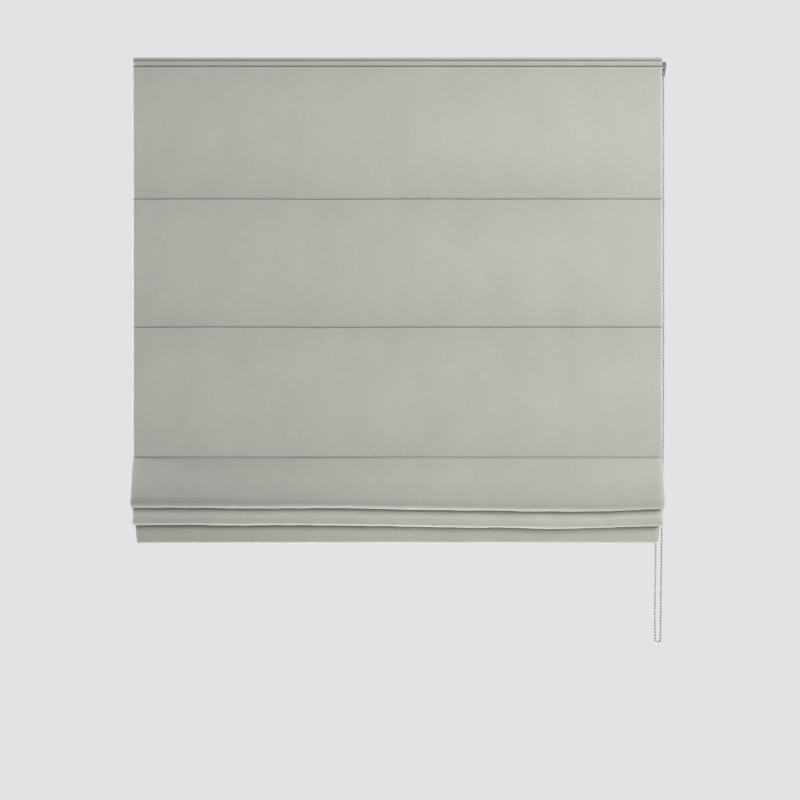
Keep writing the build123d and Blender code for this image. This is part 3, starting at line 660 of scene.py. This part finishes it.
header_length = header_top_z - header_foot_z
header_path = straight(header_top_z, header_foot_z, stitch_zs)
panel_path = straight(header_foot_z, seam_z[2], panel_edges)
lower_path = rounded((face_y, seam_z[2]), fold_corners + hem_corners, hem_end, fold_step)

face_kind = {"half": cloth_half, "thick": face_thick, "rims": face_rims, "offset": 0.0,
             "material": FACE, "slot": "face_cloth"}
face_header = cloth("face_header", header_path, 0.0, face_columns, flat_shape, flat_painted_shading, **face_kind)
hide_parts("face_fabric")
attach(face_header, "root")
face_panels = cloth("face_panels", panel_path, header_length, face_columns, flat_shape, flat_painted_shading,
                    **face_kind)
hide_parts("face_fabric")
gathering(face_panels)
face_folds = cloth("face_folds", lower_path, seam_s, face_fold_columns, fold_shape, fold_painted_shading,
                   **face_kind)
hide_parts("face_fabric")
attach(face_folds, "lower_stack")


# ---------------------------------------------------------------- lining, behind the face cloth
def lining_flat_shape(x, s, z):
    return lining_pucker * calm_at_seams(z, lining_calm) * (pucker(x, s, 13.0) + 1.0), 0.0


def lining_fold_shape(x, s, z):
    """The lining follows the face cloth's sag, and its puckers only where they press it back."""
    out, down = fold_shape(x, s, z)
    return lining_follow * min(0.0, out), down


lining_kind = {"half": lining_half, "thick": lining_thick, "rims": lining_rims, "offset": lining_offset,
               "material": LINING, "slot": "lining_cloth"}
lining_end = next(i for i, (_, z) in enumerate(lower_path) if z < lining_foot_z)
lining_header = cloth("lining_header", [place for place in header_path if place[1] <= lining_top_z],
                      header_top_z - lining_top_z, lining_header_columns, lining_flat_shape, plain_tone,
                      **lining_kind)
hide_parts("lining")
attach(lining_header, "root")
lining_panels = cloth("lining_panels", panel_path, header_length, lining_columns, lining_flat_shape,
                      plain_tone, **lining_kind)
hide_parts("lining")
gathering(lining_panels)
lining_folds = cloth("lining_folds", lower_path[:lining_end + 1], seam_s, lining_columns,
                     lining_fold_shape, plain_tone, **lining_kind)
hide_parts("lining")
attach(lining_folds, "lower_stack")

pocket_inner = 0.0029
pocket_columns, pocket_sides = 60, 20
pocket_tone = 0.98


def rod_pocket(number, body):
    """A sleeve of lining cloth round a rod, as wide as the lining."""
    low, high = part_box(f"rod_{number}")
    middle = (low + high) / 2
    sides = pocket_sides
    points, faces = [], []
    for radius in (pocket_inner + lining_thick, pocket_inner):
        for i in range(pocket_columns + 1):
            x = lining_half * (2 * i / pocket_columns - 1)
            for k in range(sides):
                angle = 2 * math.pi * k / sides
                points.append((x, middle.y + radius * math.cos(angle), middle.z + radius * math.sin(angle)))
    inner = (pocket_columns + 1) * sides
    for i in range(pocket_columns):
        for k in range(sides):
            a, b = i * sides + k, i * sides + (k + 1) % sides
            faces.append((a, b, b + sides, a + sides))
            faces.append((inner + a, inner + a + sides, inner + b + sides, inner + b))
    for k in range(sides):
        a, b = k, (k + 1) % sides
        faces.append((a, inner + a, inner + b, b))
        a, b = a + pocket_columns * sides, b + pocket_columns * sides
        faces.append((a, b, inner + b, inner + a))
    pocket = new_object(f"rod_pocket_{number}", points, faces, LINING)
    mark_cloth(pocket.data, [(x + 1.0, y + z, 0.0) for x, y, z in points], [pocket_tone] * len(points))
    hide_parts("lining")
    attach(pocket, body)
    return pocket


rod_bodies = ("rod_one", "rod_two", "lower_stack", "lower_stack", "lower_stack")
pockets = [rod_pocket(number, body) for number, body in enumerate(rod_bodies, start=1)]


# ---------------------------------------------------------------- stitching
stitch_pitch, stitch_length = 0.0042, 0.0027
stitch_reach = 0.531         # the stitching ends this far from the middle
stitch_sink = 0.0004         # depth of a stitch's ends in the cloth
stitch_proud = 0.0001        # height of its middle on the cloth
stitch_slant = 0.00007
thread_radius = 0.00028


def stitching(name, z, body, wandering=True):
    """One slanted stitch after another, on the face cloth's front."""
    routes = []
    for i in range(int(2 * stitch_reach / stitch_pitch)):
        x = -stitch_reach + (i + 0.5) * stitch_pitch
        height = z - (wander(x) if wandering else 0.0)
        y = face_y - face_thick / 2
        if body != "lower_stack":
            y -= flat_shape(x, 0.0, height)[0]
        half, quarter = stitch_length / 2, stitch_length / 4
        routes.append([(x - half, y + stitch_sink, height),
                       (x - quarter, y - stitch_proud, height + stitch_slant),
                       (x + quarter, y - stitch_proud, height - stitch_slant),
                       (x + half, y + stitch_sink, height)])
    made = tube(name, routes, thread_radius, 5, THREAD)
    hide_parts("face_fabric")
    if body == "gathered":
        gathering(made)
    else:
        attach(made, body)
    return made


header_stitches = [stitching("header_stitches_upper", stitch_zs[0], "root", False),
                   stitching("header_stitches_lower", stitch_zs[1], "root", False)]
seam_stitches = [stitching(f"seam_stitches_{name}", z - drop, body)
                 for name, z, drop, body in zip(("one", "two", "three"), seam_z, crease_drops,
                                                ("gathered", "gathered", "lower_stack"))]


# ---------------------------------------------------------------- cords and chain
def smooth_line(name, points):
    """Points read from the NURBS spline that has these control points."""
    curve = bpy.data.curves.new(name, "CURVE")
    curve.dimensions = "3D"
    spline = curve.splines.new("NURBS")
    spline.points.add(len(points) - 1)
    for control, place in zip(spline.points, points):
        control.co = (*place, 1.0)
    spline.order_u = 3
    spline.use_endpoint_u = True
    spline.resolution_u = 24
    holder = bpy.data.objects.new(name, curve)
    mesh = bpy.data.meshes.new_from_object(holder)
    line = [v.co.copy() for v in mesh.vertices]
    bpy.data.objects.remove(holder)
    bpy.data.curves.remove(curve)
    bpy.data.meshes.remove(mesh)
    return line


def along(line, distances):
    """Places along a line at these distances, which have to rise."""
    found, walked, i = [], 0.0, 0
    for distance in distances:
        while i < len(line) - 2 and walked + (line[i + 1] - line[i]).length < distance:
            walked += (line[i + 1] - line[i]).length
            i += 1
        span = line[i + 1] - line[i]
        found.append(line[i] + span * ((distance - walked) / span.length))
    return found


def bead_string(name, centres, material):
    """Round beads on a thin wire that shows between them."""
    radius = bead_diameter / 2
    rounds, rings, wire_sides = 12, 8, 6
    points, faces = [], []
    for place in centres:
        start = len(points)
        points.append(place + Vector((0, 0, radius)))
        for r in range(1, rings):
            tilt = math.pi * r / rings
            for k in range(rounds):
                turn = 2 * math.pi * k / rounds
                points.append(place + radius * Vector((math.sin(tilt) * math.cos(turn),
                                                       math.sin(tilt) * math.sin(turn), math.cos(tilt))))
        points.append(place - Vector((0, 0, radius)))
        end = len(points) - 1
        for k in range(rounds):
            after = (k + 1) % rounds
            faces.append((start, start + 1 + k, start + 1 + after))
            faces.append((end, end - rounds + after, end - rounds + k))
            for r in range(rings - 2):
                low = start + 1 + r * rounds
                faces.append((low + k, low + rounds + k, low + rounds + after, low + after))
    for a, b in zip(centres, centres[1:]):
        start = len(points)
        way = (b - a).normalized()
        side = way.orthogonal().normalized()
        other = way.cross(side)
        for place in (a, b):
            for k in range(wire_sides):
                turn = 2 * math.pi * k / wire_sides
                points.append(place + link_radius * (math.cos(turn) * side + math.sin(turn) * other))
        for k in range(wire_sides):
            after = (k + 1) % wire_sides
            faces.append((start + k, start + after, start + wire_sides + after, start + wire_sides + k))
    return new_object(name, points, faces, material)


route = [Vector((chain_x, -bead_circle_r, axis_z)), Vector((chain_x, -bead_circle_r, chain_straight_z))]
route += [Vector((chain_x + x, y, z)) for x, y, z in chain_points]
route += [Vector((chain_x, bead_circle_r, chain_straight_z)), Vector((chain_x, bead_circle_r, axis_z))]
chain_line = smooth_line("chain_route", route)
chain_length = sum((b - a).length for a, b in zip(chain_line, chain_line[1:]))
bead_count = round(chain_length / bead_pitch)
bead_places = along(chain_line, [(i + 0.5) * chain_length / bead_count for i in range(bead_count)])
hanging_chain = bead_string("hanging_chain", bead_places, CHAIN)
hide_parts("bead_chain")
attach(hanging_chain, "root")

wheel_beads = []
for i in range(wheel_pockets // 2):
    angle = 2 * math.pi * (i + 0.5) / wheel_pockets
    wheel_beads.append(Vector((chain_x, -bead_circle_r * math.cos(angle),
                               axis_z + bead_circle_r * math.sin(angle))))
chain_top = bead_string("chain_over_wheel", wheel_beads, CHAIN)
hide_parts("chain_on_wheel")
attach(chain_top, "root")

cord_sides = 8
cord_step = 0.012
steps_per_turn = 28
wound_share = 0.97           # the wound turns are a little thinner, so that they don't run into each other
for place in PLACES:
    low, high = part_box(f"lift_cord_{place}")
    middle = (low + high) / 2
    radius = (high.x - low.x) / 2
    count = round((high.z - low.z) / cord_step)
    run = [(middle.x, middle.y, high.z + (low.z - high.z) * i / count) for i in range(count + 1)]
    cord = tube(f"lift_braid_{place}", [run], radius, cord_sides, CORD)
    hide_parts(f"lift_cord_{place}")
    gathering(cord)

    low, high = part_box(f"cord_turns_{place}")
    wind_r = (high.y - low.y) / 2 - radius
    turns = (high.x - low.x - 2 * radius) / (2 * radius)
    steps = round(turns * steps_per_turn)
    helix = []
    for i in range(steps + 1):
        angle = 2 * math.pi * turns * i / steps
        helix.append((low.x + radius + 2 * radius * turns * i / steps,
                      -wind_r * math.cos(angle), axis_z + wind_r * math.sin(angle)))
    winding = tube(f"cord_winding_{place}", [helix], radius * wound_share, cord_sides, CORD)
    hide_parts(f"cord_turns_{place}")
    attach(winding, "drive")

# ---------------------------------------------------------------- finishes of the other CAD parts
for name, (material, slot) in FINISHES.items():
    part = nodes[name]
    part.data.materials.clear()
    part.data.materials.append(material)
    for polygon in part.data.polygons:
        polygon.material_index = 0

# ---------------------------------------------------------------- floor, light and camera
floor_z = -1.50
wall_radius = 5.0            # the backdrop stands outside every view's camera
wall_height = 5.0
foot_radius = 1.5            # of the curve between floor and wall
foot_steps, studio_sides = 12, 96


def glowing(name, colour, glow):
    """A matt surface that shows one even tone, whatever light falls on it."""
    s = Shader(name)
    s.set(Base_Color=(0.0, 0.0, 0.0, 1.0), Roughness=0.95, Specular_IOR_Level=0.0)
    s.set(Emission_Color=colour, Emission_Strength=glow)
    return s.material


def studio():
    """A round pale floor that curves up into a backdrop on all sides.

    It is seen by the camera and mirrored in metal, and it neither lights nor shades the blind.
    """
    profile = [(wall_radius - foot_radius, floor_z)]
    for i in range(1, foot_steps + 1):
        angle = math.pi / 2 * i / foot_steps
        profile.append((wall_radius - foot_radius + foot_radius * math.sin(angle),
                        floor_z + foot_radius * (1 - math.cos(angle))))
    profile.append((wall_radius, floor_z + wall_height))
    sides = studio_sides
    points = [(0.0, 0.0, floor_z)]
    for radius, z in profile:
        for k in range(sides):
            turn = 2 * math.pi * k / sides
            points.append((radius * math.cos(turn), radius * math.sin(turn), z))
    faces = [(0, 1 + k, 1 + (k + 1) % sides) for k in range(sides)]
    for i in range(len(profile) - 1):
        low = 1 + i * sides
        for k in range(sides):
            after = (k + 1) % sides
            faces.append((low + k, low + after, low + sides + after, low + sides + k))
    pale = glowing("pale_floor", (0.975, 0.985, 1.0, 1.0), 0.78)
    made = new_object("studio_floor", points, faces, pale)
    made.visible_diffuse = False
    made.visible_shadow = False


def area_light(name, place, target, size, power, mirrored=True):
    """A soft rectangular light that faces its target, unseen itself; mirrored says if metal shows it."""
    lamp = bpy.data.lights.new(name, "AREA")
    lamp.shape = "RECTANGLE"
    lamp.size, lamp.size_y = size
    lamp.energy = power
    made = bpy.data.objects.new(name, lamp)
    made.location = place
    made.rotation_euler = (Vector(target) - Vector(place)).to_track_quat("-Z", "Y").to_euler()
    made.visible_camera = False
    made.visible_glossy = mirrored
    bpy.context.scene.collection.objects.link(made)


studio()
world = bpy.data.worlds.new("studio")
world.use_nodes = True
sky = world.node_tree.nodes["Background"]
sky.inputs["Color"].default_value = (0.97, 0.98, 1.0, 1.0)
sky.inputs["Strength"].default_value = 0.07
bpy.context.scene.world = world
bpy.context.scene.view_settings.view_transform = "Standard"

area_light("key", (2.6, -3.6, 0.65), (0.0, 0.0, -0.5), (2.4, 2.4), 200.0)
area_light("front", (0.2, -4.0, -0.7), (0.0, 0.0, -0.6), (2.4, 1.6), 20.0)
area_light("low", (0.0, 0.05, -1.46), (0.0, -0.03, -0.9), (1.3, 0.1), 7.5)
area_light("left_side", (-1.4, 0.04, -0.5), (-0.535, 0.0, -0.5), (0.14, 1.3), 22.0)
area_light("right_side", (1.4, 0.06, -0.5), (0.535, 0.0, -0.5), (0.16, 1.3), 6.0)
area_light("back", (-2.2, 3.4, 1.4), (0.0, 0.0, -0.5), (3.6, 3.0), 115.0, False)
area_light("back_right", (2.8, 3.0, -0.3), (0.0, 0.0, -0.6), (2.4, 2.4), 40.0, False)

camera_data = bpy.data.cameras.new("camera")
camera_data.sensor_width = 36.0
camera_data.lens = 68.4      # with the camera 3.07 m from the cloth
camera = bpy.data.objects.new("camera", camera_data)
camera.location = (0.00485, -3.0924, -0.6922)
camera.rotation_euler = (math.radians(90), 0.0, 0.0)
bpy.context.scene.collection.objects.link(camera)
bpy.context.scene.camera = camera
